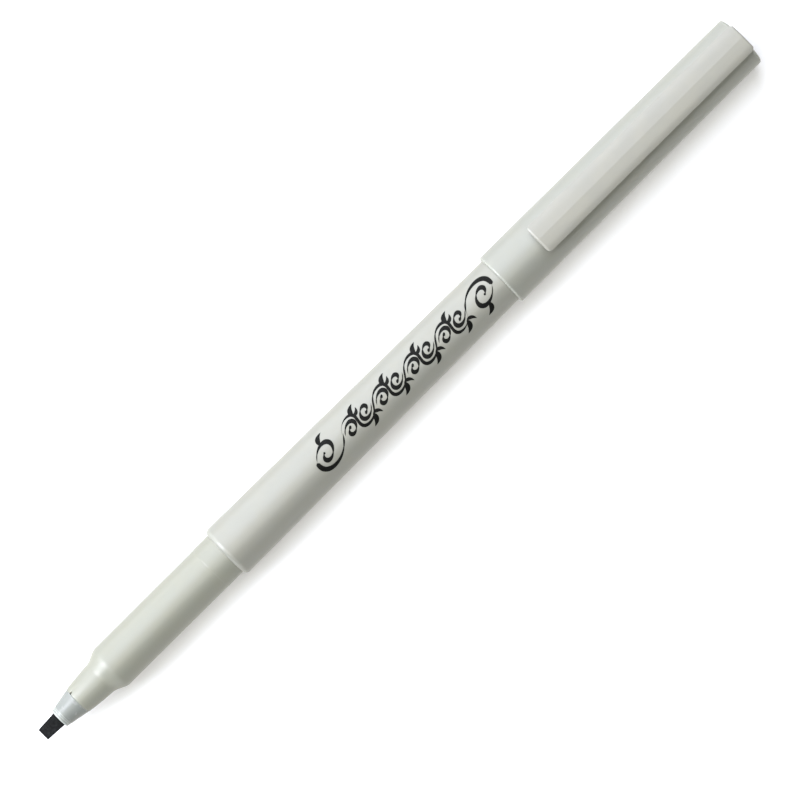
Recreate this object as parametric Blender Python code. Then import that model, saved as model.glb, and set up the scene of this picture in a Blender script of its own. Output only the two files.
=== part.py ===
"""Calligraphy marker with a chisel nib, its cap posted on the rear of the barrel.

The pen lies along X with the nib at -X, the cap's closed end at +X and the clip on top. The origin
is on the surface that the pen lies on, under the middle of its length. Sizes are in millimetres and
are turned to metres where a piece is made. A station is a distance along the pen, in millimetres
from the nib's writing edge.
"""

import math

import bmesh
import bpy

MM = 0.001
SIDES = 48  # flat sides of every turned piece, so that all the gaps between them are even
GAP = 0.3  # clearance between neighbouring pieces
FINE_GAP = 0.2  # clearance between the small pieces at the nib

# Stations of the whole pen
TOTAL_LENGTH = 157.5
HOLDER_FRONT = 3.67
NOSE_FRONT = 7.83
SHOULDER_START = 13.6
SHOULDER_END = 15.9
COLLAR_RING = 37.8
BARREL_FRONT = 41.1
BARREL_REAR = 123.9
CAP_MOUTH = 103.1

# Nib: a flat bar of pressed fibre, cut to a chisel
EDGE_HALF_WIDTH = 1.1
EDGE_HALF_THICKNESS = 0.22
HEAD_HALF_WIDTH = 1.29
HEAD_HALF_THICKNESS = 0.65
CHISEL_LENGTH = 2.1
TAIL_HALF_WIDTH = 1.1
TAIL_HALF_THICKNESS = 0.55
NIB_REAR = 31.0
NIB_EDGE_ROUNDING = 0.08

# Nib holder: a cone with a plain stem pressed into the nose
HOLDER_FRONT_RADIUS = 1.765
HOLDER_REAR_RADIUS = 2.475
HOLDER_LIP = 0.22
HOLDER_STEM_RADIUS = 1.85
HOLDER_REAR = 16.5

# Front section: nose, shoulder, grip, collar and the tail that plugs into the barrel
NOSE_FRONT_RADIUS = 2.55
NOSE_REAR_RADIUS = 3.025
NOSE_BULGE = 0.05
GRIP_FRONT_RADIUS = 4.015
GRIP_REAR_RADIUS = 4.06
RING_DEPTH = 0.12
RING_WIDTH = 0.4
TAIL_RADIUS = 3.75
TAIL_REAR = 52.0
SECTION_BORE = 3.25
BORE_STEP_START = 20.0
BORE_STEP_END = 21.8
VENT_ANGLE = 38.0  # from the top of the nose towards +Y, in degrees
VENT_WIDTH = 0.3
VENT_LENGTH = 0.5
VENT_DEPTH = 0.35

# Barrel: a tapered tube with a round lip, closed by a plug
BARREL_FRONT_RADIUS = 4.775
BARREL_TAPER = 0.00858  # loss of radius for each millimetre of length
LIP_RADIUS = 0.6
BARREL_SEAT_DEPTH = 11.6
BARREL_BORE_FRONT = 3.45
BARREL_BORE_REAR = 3.35
PLUG_FLANGE = 1.0
PLUG_STEM = 2.7
PLUG_EDGE = 0.35

# Ink reservoir: a fibre rod in a plastic film
RESERVOIR_FRONT = 23.5
RESERVOIR_REAR = 119.5
RESERVOIR_RADIUS = 2.55
FILM_INNER_RADIUS = 2.75
FILM_OUTER_RADIUS = 2.95
SOCKET_RADIUS = 1.5
SOCKET_DEPTH = 8.0

# Cap: a closed tube with a sealing cup inside and a clip on top
CAP_MOUTH_RADIUS = 4.85
CAP_END_RADIUS = 4.65
CAP_BORE_MOUTH = 4.5
CAP_BORE_END = 4.25
CAP_LIP = 0.18
CAP_END_EDGE = 0.4
CAP_END_WALL = 2.9
LINER_DEPTH = 25.3  # from the cap's mouth to the liner's mouth
LINER_RADIUS = 3.95
LINER_BORE = 3.4
LINER_FLOOR = 0.8
LINER_FLARE = 0.3

# Clip: a wide blade with a low roof, rooted on the cap's closed end
CLIP_FRONT = 111.5
CLIP_HALF_WIDTH = 2.75
CLIP_UNDERSIDE = 5.45  # heights above the pen's axis
CLIP_EDGE_TOP = 6.15
CLIP_CREST = 6.5
CLIP_CORNER = 0.85
CLIP_END_CHAMFER = 0.45
CLIP_ROOT_LENGTH = 4.6
CLIP_ROOT_HALF_WIDTH = 2.1
CLIP_BEAD_STATION = 114.2
CLIP_BEAD_HALF_LENGTH = 1.1
PEG_STATION = 156.0
PEG_HALF_LENGTH = 0.6
PEG_HALF_WIDTH = 1.3
PEG_BOTTOM = 3.3
PIVOT_HEIGHT = 4.6

AXIS_HEIGHT = 4.68  # a narrow flat under the cap's mouth and the barrel's lip rests on the surface
BARREL_SEAT_RADIUS = TAIL_RADIUS + GAP
NOSE_BORE = HOLDER_STEM_RADIUS + FINE_GAP

PEARL_WHITE = "e3e4de"
PEARL_GREEN_WHITE = "dfe3dc"
WARM_PEARL = "e3e1d8"
CLEAR_BLUE_GREY = "c9d1d6"
INK_BLACK = "1b1d1e"
INK_SOAKED_FIBRE = "26282c"
FILM_CLEAR = "d9dddf"
SEAL_WHITE = "eceeec"


def remove_everything():
    """Empty the scene, so that a second run gives the same model."""
    for item in list(bpy.data.objects):
        bpy.data.objects.remove(item, do_unlink=True)


def linear(channel):
    """Linear value of one sRGB channel between 0 and 1."""
    if channel <= 0.04045:
        return channel / 12.92
    return ((channel + 0.055) / 1.055) ** 2.4


def plastic(name, colour, roughness, metallic=0.0):
    """A plain material from an sRGB hex colour."""
    finish = bpy.data.materials.new(name)
    finish.use_nodes = True
    shader = finish.node_tree.nodes["Principled BSDF"]
    channels = [linear(int(colour[i : i + 2], 16) / 255) for i in (0, 2, 4)]
    shader.inputs["Base Color"].default_value = (*channels, 1.0)
    shader.inputs["Roughness"].default_value = roughness
    shader.inputs["Metallic"].default_value = metallic
    return finish


def along(station):
    """The X coordinate of a station, in metres."""
    return (station - TOTAL_LENGTH / 2) * MM


def empty(name, station, height=AXIS_HEIGHT, parent=None):
    """A parent frame on the pen, placed by station and height."""
    frame = bpy.data.objects.new(name, None)
    frame.empty_display_size = 3 * MM
    bpy.context.scene.collection.objects.link(frame)
    attach(frame, (along(station), 0.0, height * MM), parent)
    return frame


def attach(item, place, parent):
    """Parent an object and put it at a world place."""
    if parent is None:
        item.location = place
        return
    item.parent = parent
    origin = parent.location.copy()
    ancestor = parent.parent
    while ancestor:
        origin += ancestor.location
        ancestor = ancestor.parent
    item.location = [place[i] - origin[i] for i in range(3)]


def finished(name, work, finish, station, parent, height=AXIS_HEIGHT):
    """Turn a bmesh whose points are relative to a station into a named, shaded object."""
    bmesh.ops.recalc_face_normals(work, faces=work.faces)
    mesh = bpy.data.meshes.new(name)
    work.to_mesh(mesh)
    work.free()
    mesh.materials.append(finish)
    mesh.shade_smooth()
    mesh.set_sharp_from_angle(angle=math.radians(35))
    item = bpy.data.objects.new(name, mesh)
    bpy.context.scene.collection.objects.link(item)
    attach(item, (along(station), 0.0, height * MM), parent)
    return item


def turned(outline, closed, origin):
    """Spin an outline of (station, radius) points about the pen's axis.

    The radius is the distance to the flat sides, and one flat side faces straight down. Whatever
    would reach lower than the surface that the pen lies on is flattened to it.
    """
    work = bmesh.new()
    half_side = math.pi / SIDES
    stretch = MM / math.cos(half_side)
    corners = []
    for station, radius in outline:
        reach = radius * stretch
        place = ((station - origin) * MM, reach * math.sin(half_side), reach * math.cos(half_side))
        corners.append(work.verts.new(place))
    edges = [work.edges.new(pair) for pair in zip(corners, corners[1:])]
    if closed:
        edges.append(work.edges.new((corners[-1], corners[0])))
    bmesh.ops.spin(
        work,
        geom=corners + edges,
        cent=(0, 0, 0),
        axis=(1, 0, 0),
        angle=2 * math.pi,
        steps=SIDES,
        use_duplicate=False,
    )
    bmesh.ops.remove_doubles(work, verts=work.verts, dist=0.001 * MM)
    for vert in work.verts:
        vert.co.z = max(vert.co.z, -AXIS_HEIGHT * MM)
    return work


def corner(station, radius, size, start, end, steps=4):
    """Points on a rounded corner about a centre, angles in degrees from +station to +radius."""
    points = []
    for i in range(steps + 1):
        angle = math.radians(start + (end - start) * i / steps)
        points.append((station + size * math.cos(angle), radius + size * math.sin(angle)))
    return points


def box_mesh(low, high):
    """A box between two corners given in millimetres."""
    work = bmesh.new()
    bmesh.ops.create_cube(work, size=1.0)
    for vert in work.verts:
        for i in range(3):
            vert.co[i] = ((low[i] + high[i]) / 2 + vert.co[i] * (high[i] - low[i])) * MM
    return work


def loft(rings):
    """Skin a row of closed rings with the same number of points, given in millimetres."""
    work = bmesh.new()
    rows = [[work.verts.new([value * MM for value in point]) for point in ring] for ring in rings]
    count = len(rows[0])
    for first, second in zip(rows, rows[1:]):
        for i in range(count):
            j = (i + 1) % count
            work.faces.new((first[i], first[j], second[j], second[i]))
    work.faces.new(rows[0])
    work.faces.new(rows[-1])
    return work


def cutter(name, work, station, parent):
    """A hidden object that only shapes another one."""
    tool = finished(name, work, plastic(name, SEAL_WHITE, 0.5), station, parent)
    tool.hide_render = True
    tool.display_type = "WIRE"
    return tool


def combine(item, tool, operation):
    """Add a Boolean modifier with the exact solver."""
    modifier = item.modifiers.new(tool.name, "BOOLEAN")
    modifier.operation = operation
    modifier.solver = "EXACT"
    modifier.object = tool


def barrel_radius(station):
    """Outer radius of the tapered barrel."""
    return BARREL_FRONT_RADIUS - BARREL_TAPER * (station - BARREL_FRONT)


def cap_radius(station):
    """Outer radius of the tapered cap."""
    share = (station - CAP_MOUTH) / (TOTAL_LENGTH - CAP_MOUTH)
    return CAP_MOUTH_RADIUS + (CAP_END_RADIUS - CAP_MOUTH_RADIUS) * share


def make_nib(pen):
    """Flat fibre bar with a square-cut chisel edge and a narrower tail to the reservoir."""
    head_rear = HOLDER_FRONT - GAP
    widening = (HEAD_HALF_WIDTH - EDGE_HALF_WIDTH) * CHISEL_LENGTH / head_rear
    sections = [
        (0.0, EDGE_HALF_WIDTH, EDGE_HALF_THICKNESS),
        (CHISEL_LENGTH, EDGE_HALF_WIDTH + widening, HEAD_HALF_THICKNESS),
        (head_rear, HEAD_HALF_WIDTH, HEAD_HALF_THICKNESS),
        (head_rear + 0.01, TAIL_HALF_WIDTH, TAIL_HALF_THICKNESS),
        (NIB_REAR, TAIL_HALF_WIDTH, TAIL_HALF_THICKNESS),
    ]
    rings = [
        [(x, -wide, -thick), (x, wide, -thick), (x, wide, thick), (x, -wide, thick)]
        for x, wide, thick in sections
    ]
    nib = finished("nib", loft(rings), plastic("fibre_black", INK_BLACK, 0.75), 0.0, pen)
    rounding = nib.modifiers.new("edge_rounding", "BEVEL")
    rounding.width = NIB_EDGE_ROUNDING * MM
    rounding.segments = 1
    rounding.limit_method = "ANGLE"
    rounding.angle_limit = math.radians(50)


def make_nib_holder(pen):
    """Conical holder with a slot for the nib and a stem inside the nose."""
    rear = NOSE_FRONT - GAP
    outline = [(HOLDER_FRONT, 0.0)]
    outline += corner(
        HOLDER_FRONT + HOLDER_LIP, HOLDER_FRONT_RADIUS - HOLDER_LIP, HOLDER_LIP, 180, 90, 3
    )
    outline += [
        (rear - 0.1, HOLDER_REAR_RADIUS),
        (rear, HOLDER_REAR_RADIUS - 0.1),
        (rear, HOLDER_STEM_RADIUS),
        (HOLDER_REAR - 0.2, HOLDER_STEM_RADIUS),
        (HOLDER_REAR, HOLDER_STEM_RADIUS - 0.2),
        (HOLDER_REAR, 0.0),
    ]
    holder = finished(
        "nib_holder",
        turned(outline, False, HOLDER_FRONT),
        plastic("clear_plastic", CLEAR_BLUE_GREY, 0.3),
        HOLDER_FRONT,
        pen,
    )
    wide = TAIL_HALF_WIDTH + FINE_GAP
    thick = TAIL_HALF_THICKNESS + FINE_GAP
    length = HOLDER_REAR - HOLDER_FRONT
    slot = cutter(
        "nib_slot",
        box_mesh((-1.0, -wide, -thick), (length + 1.0, wide, thick)),
        HOLDER_FRONT,
        pen,
    )
    combine(holder, slot, "DIFFERENCE")


def section_outline():
    """Outer and inner profile of the front section, from the nose's face round to it again."""
    edge = 0.15
    outline = corner(NOSE_FRONT + edge, NOSE_FRONT_RADIUS - edge, edge, 180, 90, 2)
    for i in range(1, 5):
        share = i / 5
        station = NOSE_FRONT + (SHOULDER_START - NOSE_FRONT) * share
        radius = NOSE_FRONT_RADIUS + (NOSE_REAR_RADIUS - NOSE_FRONT_RADIUS) * share
        outline.append((station, radius + NOSE_BULGE * math.sin(math.pi * share)))
    steps = 9
    for i in range(steps + 1):
        share = i / steps
        station = SHOULDER_START + (SHOULDER_END - SHOULDER_START) * share
        rise = share * share * (3 - 2 * share)
        outline.append((station, NOSE_REAR_RADIUS + (GRIP_FRONT_RADIUS - NOSE_REAR_RADIUS) * rise))
    ring_front = COLLAR_RING - RING_WIDTH / 2
    ring_rear = COLLAR_RING + RING_WIDTH / 2
    collar_rear = BARREL_FRONT - GAP
    outline += [
        (ring_front, GRIP_REAR_RADIUS),
        (ring_front + RING_DEPTH, GRIP_REAR_RADIUS - RING_DEPTH),
        (ring_rear - RING_DEPTH, GRIP_REAR_RADIUS - RING_DEPTH),
        (ring_rear, GRIP_REAR_RADIUS),
        (collar_rear - 0.1, GRIP_REAR_RADIUS),
        (collar_rear, GRIP_REAR_RADIUS - 0.1),
        (collar_rear, TAIL_RADIUS),
        (TAIL_REAR - 0.3, TAIL_RADIUS),
        (TAIL_REAR, TAIL_RADIUS - 0.2),
        (TAIL_REAR, SECTION_BORE),
        (BORE_STEP_END, SECTION_BORE),
        (BORE_STEP_START, NOSE_BORE),
        (NOSE_FRONT, NOSE_BORE),
    ]
    return outline


def make_front_section(pen):
    """Grip moulding: nose, shoulder, grip, collar and plug-in tail, with a vent notch in its rim."""
    section = finished(
        "front_section",
        turned(section_outline(), True, NOSE_FRONT),
        plastic("grip_plastic", PEARL_GREEN_WHITE, 0.35),
        NOSE_FRONT,
        pen,
    )
    notch = cutter(
        "vent_notch",
        box_mesh(
            (-1.0, -VENT_WIDTH / 2, NOSE_FRONT_RADIUS - VENT_DEPTH),
            (VENT_LENGTH, VENT_WIDTH / 2, NOSE_FRONT_RADIUS + 1.0),
        ),
        NOSE_FRONT,
        pen,
    )
    notch.rotation_euler = (-math.radians(VENT_ANGLE), 0.0, 0.0)
    combine(section, notch, "DIFFERENCE")


def make_barrel(pen):
    """Tapered tube with a round front lip and a seat for the front section."""
    tube_rear = BARREL_REAR - PLUG_FLANGE - GAP
    seat_rear = BARREL_FRONT + BARREL_SEAT_DEPTH
    lip_centre = barrel_radius(BARREL_FRONT + LIP_RADIUS) - LIP_RADIUS
    outline = corner(BARREL_FRONT + LIP_RADIUS, lip_centre, LIP_RADIUS, 180, 90, 5)
    outline += [
        (tube_rear - 0.2, barrel_radius(tube_rear)),
        (tube_rear, barrel_radius(tube_rear) - 0.2),
        (tube_rear, BARREL_BORE_REAR),
        (seat_rear + 0.6, BARREL_BORE_FRONT),
        (seat_rear, BARREL_SEAT_RADIUS),
        (BARREL_FRONT + 0.1, BARREL_SEAT_RADIUS),
    ]
    finished(
        "barrel",
        turned(outline, True, BARREL_FRONT),
        plastic("barrel_plastic", PEARL_WHITE, 0.35),
        BARREL_FRONT,
        pen,
    )


def make_barrel_end_plug(pen):
    """Flanged plug that closes the rear of the barrel."""
    flange_front = BARREL_REAR - PLUG_FLANGE
    stem_front = flange_front - PLUG_STEM
    stem = BARREL_BORE_REAR - GAP
    rim = barrel_radius(BARREL_REAR)
    outline = [
        (stem_front, 0.0),
        (stem_front, stem - 0.3),
        (stem_front + 0.5, stem),
        (flange_front, stem),
        (flange_front, rim),
    ]
    outline += corner(BARREL_REAR - PLUG_EDGE, rim - PLUG_EDGE, PLUG_EDGE, 90, 0, 3)
    outline.append((BARREL_REAR, 0.0))
    finished(
        "barrel_end_plug",
        turned(outline, False, stem_front),
        plastic("plug_plastic", PEARL_WHITE, 0.4),
        stem_front,
        pen,
    )


def make_ink_reservoir(pen):
    """Fibre rod with a socket for the nib's tail, and the film tube around it."""
    rod = [
        (RESERVOIR_FRONT + SOCKET_DEPTH, 0.0),
        (RESERVOIR_FRONT + SOCKET_DEPTH, SOCKET_RADIUS),
        (RESERVOIR_FRONT, SOCKET_RADIUS),
        (RESERVOIR_FRONT, RESERVOIR_RADIUS),
        (RESERVOIR_REAR, RESERVOIR_RADIUS),
        (RESERVOIR_REAR, 0.0),
    ]
    finished(
        "ink_reservoir",
        turned(rod, False, RESERVOIR_FRONT),
        plastic("reservoir_fibre", INK_SOAKED_FIBRE, 0.95),
        RESERVOIR_FRONT,
        pen,
    )
    film = [
        (RESERVOIR_FRONT, FILM_OUTER_RADIUS),
        (RESERVOIR_REAR, FILM_OUTER_RADIUS),
        (RESERVOIR_REAR, FILM_INNER_RADIUS),
        (RESERVOIR_FRONT, FILM_INNER_RADIUS),
    ]
    finished(
        "reservoir_film",
        turned(film, True, RESERVOIR_FRONT),
        plastic("reservoir_film", FILM_CLEAR, 0.2),
        RESERVOIR_FRONT,
        pen,
    )


def make_cap_shell(cap):
    """Closed tube with a slot in its end wall for the clip's peg."""
    floor = TOTAL_LENGTH - CAP_END_WALL
    edge_centre = TOTAL_LENGTH - CAP_END_EDGE
    lip_centre = CAP_MOUTH + CAP_LIP
    outline = [(floor, 0.0), (floor, CAP_BORE_END), (lip_centre, CAP_BORE_MOUTH)]
    outline += corner(lip_centre, cap_radius(lip_centre) - CAP_LIP, CAP_LIP, 180, 90, 3)
    outline += corner(
        edge_centre, cap_radius(edge_centre) - CAP_END_EDGE, CAP_END_EDGE, 90, 0, 4
    )
    outline.append((TOTAL_LENGTH, 0.0))
    shell = finished(
        "cap_shell",
        turned(outline, False, CAP_MOUTH),
        plastic("cap_plastic", PEARL_WHITE, 0.35),
        CAP_MOUTH,
        cap,
    )
    centre = PEG_STATION - CAP_MOUTH
    reach = PEG_HALF_LENGTH + GAP
    wide = PEG_HALF_WIDTH + GAP
    slot = cutter(
        "peg_slot",
        box_mesh(
            (centre - reach, -wide, PEG_BOTTOM - GAP),
            (centre + reach, wide, CAP_MOUTH_RADIUS + 1.0),
        ),
        CAP_MOUTH,
        cap,
    )
    combine(shell, slot, "DIFFERENCE")


def make_cap_liner(cap):
    """Sealing cup that closes round the shoulder of the front section when the pen is capped."""
    mouth = CAP_MOUTH + LINER_DEPTH
    rear = TOTAL_LENGTH - CAP_END_WALL - GAP
    outline = [
        (rear - LINER_FLOOR, 0.0),
        (rear - LINER_FLOOR, LINER_BORE),
        (mouth + 2 * LINER_FLARE, LINER_BORE),
        (mouth, LINER_BORE + LINER_FLARE),
        (mouth, LINER_RADIUS - 0.1),
        (mouth + 0.2, LINER_RADIUS),
        (rear - 0.4, LINER_RADIUS),
        (rear, LINER_RADIUS - 0.3),
        (rear, 0.0),
    ]
    finished(
        "cap_liner",
        turned(outline, False, mouth),
        plastic("seal_plastic", SEAL_WHITE, 0.45),
        mouth,
        cap,
    )


def clip_half_width(station):
    """Half width of the clip's plan outline: round corners in front, chamfers at the end."""
    from_front = station - CLIP_FRONT
    if from_front < CLIP_CORNER:
        inward = min(CLIP_CORNER - from_front, CLIP_CORNER)
        return CLIP_HALF_WIDTH - CLIP_CORNER + math.sqrt(CLIP_CORNER**2 - inward**2)
    from_end = TOTAL_LENGTH - station
    return CLIP_HALF_WIDTH - max(CLIP_END_CHAMFER - from_end, 0.0)


def clip_ring(station, rooted):
    """Cross-section of the clip at a station, as (x, y, z) from the hinge axis."""
    half = clip_half_width(station)
    x = station - PEG_STATION
    clearance = cap_radius(station) + GAP
    bead = abs(station - CLIP_BEAD_STATION) / CLIP_BEAD_HALF_LENGTH
    bead_drop = (CLIP_UNDERSIDE - clearance) * math.sqrt(max(1 - bead * bead, 0.0))
    shares = (-1.0, -0.76, -0.4, 0.0, 0.4, 0.76, 1.0)
    ring = []
    for share in shares:
        y = half * share
        z = CLIP_UNDERSIDE
        if rooted and abs(share) < 0.8:
            y = CLIP_ROOT_HALF_WIDTH * share / 0.76
            z = math.sqrt(clearance**2 - y * y)
        elif abs(share) < 0.3:
            z -= bead_drop
        ring.append((x, y, z - PIVOT_HEIGHT))
    for share in (1.0, 0.5, 0.0, -0.5, -1.0):
        rise = (CLIP_CREST - CLIP_EDGE_TOP) * (1 - abs(share))
        edge_drop = 0.08 if abs(share) == 1.0 else 0.0
        ring.append((x, half * share, CLIP_EDGE_TOP + rise - edge_drop - PIVOT_HEIGHT))
    return ring


def make_cap_clip(hinge):
    """Wide blade with a low roof, a bead under its free end and a peg into the cap's end wall."""
    stations = []
    corner_steps = 3
    for i in range(corner_steps + 1):
        angle = math.pi / 2 * i / corner_steps
        stations.append(CLIP_FRONT + CLIP_CORNER * (1 - math.cos(angle)))
    bead_steps = 6
    for i in range(bead_steps + 1):
        share = 2 * i / bead_steps - 1
        stations.append(CLIP_BEAD_STATION + CLIP_BEAD_HALF_LENGTH * share)
    root_front = TOTAL_LENGTH - CLIP_ROOT_LENGTH
    rings = [clip_ring(station, False) for station in stations]
    rings.append(clip_ring(root_front, False))
    rings.append(clip_ring(root_front + 0.5, True))
    rings.append(clip_ring(TOTAL_LENGTH - CLIP_END_CHAMFER, True))
    rings.append(clip_ring(TOTAL_LENGTH, True))
    clip = finished(
        "cap_clip",
        loft(rings),
        plastic("clip_plastic", WARM_PEARL, 0.35),
        PEG_STATION,
        hinge,
        AXIS_HEIGHT + PIVOT_HEIGHT,
    )
    peg = cutter(
        "clip_peg",
        box_mesh(
            (-PEG_HALF_LENGTH, -PEG_HALF_WIDTH, PEG_BOTTOM),
            (PEG_HALF_LENGTH, PEG_HALF_WIDTH, CLIP_UNDERSIDE),
        ),
        PEG_STATION,
        hinge,
    )
    combine(clip, peg, "UNION")


def main():
    """Build the pen, the cap and the clip, each group under its own parent frame."""
    remove_everything()
    pen = empty("pen_axis", TOTAL_LENGTH / 2)
    cap = empty("cap_slide_axis", CAP_MOUTH, parent=pen)
    hinge = empty("clip_hinge_axis", PEG_STATION, AXIS_HEIGHT + PIVOT_HEIGHT, parent=cap)
    make_nib(pen)
    make_nib_holder(pen)
    make_front_section(pen)
    make_barrel(pen)
    make_barrel_end_plug(pen)
    make_ink_reservoir(pen)
    make_cap_shell(cap)
    make_cap_liner(cap)
    make_cap_clip(hinge)


main()
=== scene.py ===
"""The looks of a chisel-nib calligraphy marker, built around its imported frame.

Lengths are in metres, along X from the nib to the cap's closed end, in the frame's own coordinates.
"""

import bmesh
import bpy
import numpy as np
from mathutils import Matrix, Vector


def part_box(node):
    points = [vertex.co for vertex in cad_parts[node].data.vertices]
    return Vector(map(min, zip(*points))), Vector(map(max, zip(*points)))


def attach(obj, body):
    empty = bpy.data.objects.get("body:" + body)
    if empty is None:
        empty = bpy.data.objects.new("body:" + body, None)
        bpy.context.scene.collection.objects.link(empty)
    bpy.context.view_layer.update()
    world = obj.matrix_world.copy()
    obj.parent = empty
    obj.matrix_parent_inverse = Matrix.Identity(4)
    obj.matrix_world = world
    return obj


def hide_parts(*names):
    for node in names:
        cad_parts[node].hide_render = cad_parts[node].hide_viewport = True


bl_info = {
    "name": "Calligraphy Marker",
    "version": (1, 0, 0),
    "blender": (4, 5, 0),
    "location": "3D View > Sidebar > Marker",
    "description": "Builds the visible pieces of a chisel-nib marker around its packed frame",
    "category": "Object",
}

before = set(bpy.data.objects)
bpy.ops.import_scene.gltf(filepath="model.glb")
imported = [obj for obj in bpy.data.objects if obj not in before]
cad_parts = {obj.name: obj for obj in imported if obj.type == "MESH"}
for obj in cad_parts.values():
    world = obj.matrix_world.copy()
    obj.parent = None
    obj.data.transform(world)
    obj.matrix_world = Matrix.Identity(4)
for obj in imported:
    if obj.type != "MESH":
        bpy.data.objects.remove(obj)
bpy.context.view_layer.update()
MM = 0.001

# Places and radii that the frame gives
BOX = {name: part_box(name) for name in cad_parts}
AXIS_Z = (BOX["ink_reservoir"][0].z + BOX["ink_reservoir"][1].z) / 2
TIP = BOX["nib"][0].x
HOLDER_FRONT = BOX["nib_holder"][0].x
NOSE_FRONT = BOX["front_section"][0].x
SECTION_REAR = BOX["front_section"][1].x
BARREL_FRONT = BOX["barrel"][0].x
TUBE_REAR = BOX["barrel"][1].x
PLUG_FRONT = BOX["barrel_end_plug"][0].x
PLUG_REAR = BOX["barrel_end_plug"][1].x
CAP_MOUTH = BOX["cap_shell"][0].x
CAP_END = BOX["cap_shell"][1].x
LINER_MOUTH = BOX["cap_liner"][0].x
LINER_REAR = BOX["cap_liner"][1].x
CLIP_FRONT = BOX["cap_clip"][0].x
NIB_HALF_WIDTH = BOX["nib"][1].y
HOLDER_RADIUS = BOX["nib_holder"][1].y
GRIP_RADIUS = BOX["front_section"][1].y
BARREL_RADIUS = BOX["barrel"][1].y
PLUG_RADIUS = BOX["barrel_end_plug"][1].y
CAP_RADIUS = BOX["cap_shell"][1].y
LINER_RADIUS = BOX["cap_liner"][1].y
CLIP_HALF_WIDTH = BOX["cap_clip"][1].y
CLIP_CREST = BOX["cap_clip"][1].z - AXIS_Z

BARREL_TAPER = (BARREL_RADIUS - PLUG_RADIUS) / (PLUG_REAR - BARREL_FRONT)
CAP_END_LOSS = 0.2 * MM  # how much smaller the cap is at its closed end
CAP_TAPER = CAP_END_LOSS / (CAP_END - CAP_MOUTH)
CLIP_HINGE = 1.5 * MM  # from the clip's flexing root to the cap's closed end
CLIP_FLEX = np.radians(4.0)  # a little more than the root flexes
ROUNDNESS = 0.22  # power of the nib's section, where 0 is a rectangle and 1 an ellipse
SIDES = 192  # points round every turned piece
SHARP_ANGLE = np.radians(40.0)  # an edge that turns by more than this is shaded sharp
LEAN = 0.42  # forward lean of the ornament for each unit of height

# A Mix node's colour sockets by number, because its number and vector sockets share their names
MIX_A = 6
MIX_B = 7
MIX_RESULT = 2

COOL = (0.985, 1.005, 1.075)
WARM = (1.03, 1.01, 0.92)
PALE_ROOM = (1.0, 0.985, 0.91)
DARK_ROOM = (0.02, 0.02, 0.02)
HORIZON = 0.2  # the height, in a direction of length one, where the room has turned dark
PANEL_DISTANCE = 0.8
PANEL_LENGTH = 1.4
PANEL_SHIFT = -0.18  # the long panels are centred this far towards the nib

# Each long panel with the degrees it fills, from +Y over the top, and its radiance and tint
LONG_PANELS = {
    "low_softbox": (2, 40, 2.65, COOL),
    "high_softbox": (40, 80, 3.35, COOL),
    "overhead_fill": (80, 113, 2.25, WARM),
    "far_side_fill": (120, 165, 0.2, WARM),
}


def linear(code):
    """An sRGB hex colour as linear red, green and blue, by the standard's straight line for the
    darkest values and its power of 2.4 above them."""
    srgb = np.array([int(code[i : i + 2], 16) for i in (0, 2, 4)]) / 255
    return tuple(np.where(srgb <= 0.04045, srgb / 12.92, ((srgb + 0.055) / 1.055) ** 2.4))


def length(label, words, default):
    """A length property, in metres."""
    return bpy.props.FloatProperty(
        name=label, description=words, default=default, unit="LENGTH", precision=5
    )


def colour(label, words, code):
    """A colour property with an sRGB hex default."""
    return bpy.props.FloatVectorProperty(
        name=label, description=words, default=linear(code), subtype="COLOR", size=3, min=0, max=1
    )


class MarkerSizes(bpy.types.PropertyGroup):
    """Sizes of the visible pieces that the frame doesn't give."""

    nib_edge: length("Nib edge", "Half width of the writing edge", 1.1 * MM)
    nib_thickness: length("Nib thickness", "Half thickness of the fibre bar", 0.64 * MM)
    holder_front: length("Holder front", "Radius of the holder's front lip", 1.765 * MM)
    nose_front: length("Nose front", "Radius at the front of the nose", 2.55 * MM)
    nose_rear: length("Nose rear", "Radius where the shoulder starts", 3.025 * MM)
    nose_length: length("Nose length", "From the nose's front to the shoulder", 4.9 * MM)
    shoulder_length: length("Shoulder length", "Length of the S-curve", 2.95 * MM)
    collar_ring: length("Collar step", "From the nose's front to the low step", 29.97 * MM)
    barrel_lip: length("Barrel lip", "Radius of the barrel's round front lip", 0.85 * MM)
    cap_lip: length("Cap lip", "Radius of the cap's round mouth", 0.42 * MM)
    cap_edge: length("Cap edge", "Radius of the edge at the closed end", 0.42 * MM)
    clip_corner: length("Clip corner", "Radius of the clip's front corners", 0.85 * MM)
    clip_thickness: length("Clip thickness", "Thickness of the blade at its crest", 1.0 * MM)
    ornament_start: length("Ornament start", "From the nib's edge to the printing", 61.4 * MM)
    pen_width: length("Pen width", "Width of the broad pen that the ornament imitates", 0.8 * MM)


class MarkerColours(bpy.types.PropertyGroup):
    """Colours of the visible materials."""

    barrel: colour("Barrel", "Pearl white polystyrene", "8b8c85")
    grip: colour("Grip", "Pearl white with a green cast", "888a80")
    cap: colour("Cap", "Pearl white polystyrene", "8b8d86")
    clip: colour("Clip", "Slightly warmer pearl white", "8e8e87")
    holder: colour("Holder", "Blue-grey, slightly clear plastic", "7f8380")
    nib: colour("Nib", "Fibre soaked with black ink", "0e0f10")
    ink: colour("Ink", "Black pad-printing ink", "0d0e0d")
    liner: colour("Liner", "Soft white sealing plastic", "b4b4b0")
    floor: colour("Floor", "Matt white paper", "f4f5f9")


def add(tree, kind, sockets=None, **settings):
    """Add a node. Sockets holds its inputs by name or number, each a value or another's output."""
    node = tree.nodes.new(kind)
    for key, value in settings.items():
        setattr(node, key, value)
    for key, value in (sockets or {}).items():
        if isinstance(value, bpy.types.NodeSocket):
            tree.links.new(value, node.inputs[key])
        else:
            node.inputs[key].default_value = value
    return node


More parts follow.
